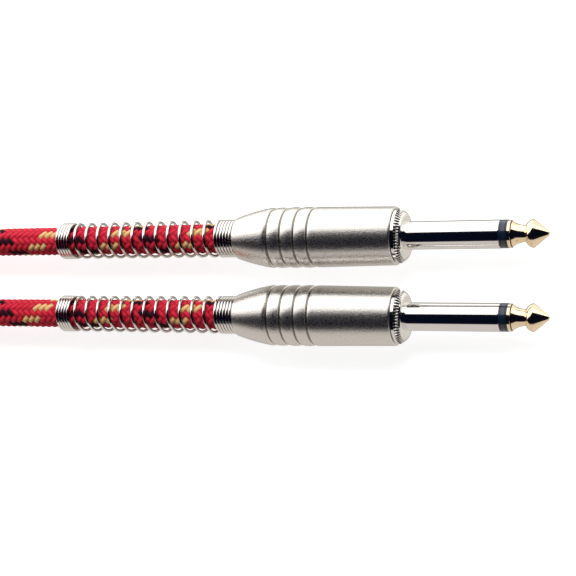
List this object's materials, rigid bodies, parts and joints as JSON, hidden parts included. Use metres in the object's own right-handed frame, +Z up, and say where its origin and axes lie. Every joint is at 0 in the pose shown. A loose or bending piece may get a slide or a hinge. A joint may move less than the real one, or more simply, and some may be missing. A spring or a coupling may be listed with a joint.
{
  "type": "instrument cable",
  "caption": "Braided instrument cable with straight 6.35 mm phone plugs, screwed metal barrels and spring strain reliefs, wound into a tied hank",
  "frame": {"origin": "on the surface the plugs rest on, half way along the plugs with their strain relief springs, and half way between the two plugs", "axes": "+X along both plugs towards their tips, +Z up, the free cable runs towards -X"},
  "size_m": [0.2935, 0.0644, 0.042],
  "materials": {
    "gold_contact": "polished gold plate",
    "black_insulator": "glossy moulded plastic",
    "polished_nickel": "polished nickel plate",
    "satin_nickel": "fine bead-blasted satin nickel plate",
    "fibre_washer": "pressed fibre",
    "tinned_brass": "tin-plated stamping",
    "solder": "bright set solder",
    "clear_sleeve": "thin semi-matte insulating plastic",
    "copper": "stranded bare copper",
    "core_insulation": "smooth extruded insulation",
    "braided_jacket": "woven textile braid in red with black and gold flecks",
    "tie_strap": "woven hook-and-loop strap"
  },
  "bodies": {
    "root": {"tip_contact_1": "gold_contact", "tip_insulator_1": "black_insulator", "core_insulator_1": "black_insulator", "plug_sleeve_1": "polished_nickel", "rear_washer_1": "fibre_washer", "tip_lug_1": "tinned_brass", "ground_lug_1": "tinned_brass", "tip_solder_1": "solder", "ground_solder_1": "solder", "centre_conductor_1": "copper", "cable_core_1": "core_insulation", "shield_pigtail_1": "copper", "cable_end_1": "braided_jacket", "cable_lead_1": "braided_jacket", "tip_contact_2": "gold_contact", "tip_insulator_2": "black_insulator", "core_insulator_2": "black_insulator", "plug_sleeve_2": "polished_nickel", "rear_washer_2": "fibre_washer", "tip_lug_2": "tinned_brass", "ground_lug_2": "tinned_brass", "tip_solder_2": "solder", "ground_solder_2": "solder", "centre_conductor_2": "copper", "cable_core_2": "core_insulation", "shield_pigtail_2": "copper", "cable_end_2": "braided_jacket", "cable_lead_2": "braided_jacket", "cable_hank": "braided_jacket", "cable_tie": "tie_strap"},
    "boot_1": {"insulating_sleeve_1": "clear_sleeve"},
    "spring_1": {"relief_spring_1": "polished_nickel"},
    "barrel_body_1": {"barrel_1": "satin_nickel"},
    "boot_2": {"insulating_sleeve_2": "clear_sleeve"},
    "spring_2": {"relief_spring_2": "polished_nickel"},
    "barrel_body_2": {"barrel_2": "satin_nickel"}
  },
  "joints": [
    {"name": "boot_slide_1", "type": "slide", "parent": "root", "child": "boot_1", "axis": [-1, 0, 0], "range_m": [0, 0.022]},
    {"name": "barrel_screw_1", "type": "slide", "parent": "boot_1", "child": "spring_1", "axis": [-1, 0, 0], "range_m": [0, 0.005]},
    {"name": "barrel_turn_1", "type": "hinge", "parent": "spring_1", "child": "barrel_body_1", "pos_m": [0.02, 0.009, 0.00702], "axis": [-1, 0, 0], "range_deg": [0, 1800]},
    {"name": "boot_slide_2", "type": "slide", "parent": "root", "child": "boot_2", "axis": [-1, 0, 0], "range_m": [0, 0.022]},
    {"name": "barrel_screw_2", "type": "slide", "parent": "boot_2", "child": "spring_2", "axis": [-1, 0, 0], "range_m": [0, 0.005]},
    {"name": "barrel_turn_2", "type": "hinge", "parent": "spring_2", "child": "barrel_body_2", "pos_m": [0.02, -0.009, 0.00702], "axis": [-1, 0, 0], "range_deg": [0, 1800]}
  ],
  "couplings": [
    {"joint": "barrel_screw_1", "follows": "barrel_turn_1", "m_per_rad": 0.000159},
    {"joint": "barrel_screw_2", "follows": "barrel_turn_2", "m_per_rad": 0.000159}
  ]
}
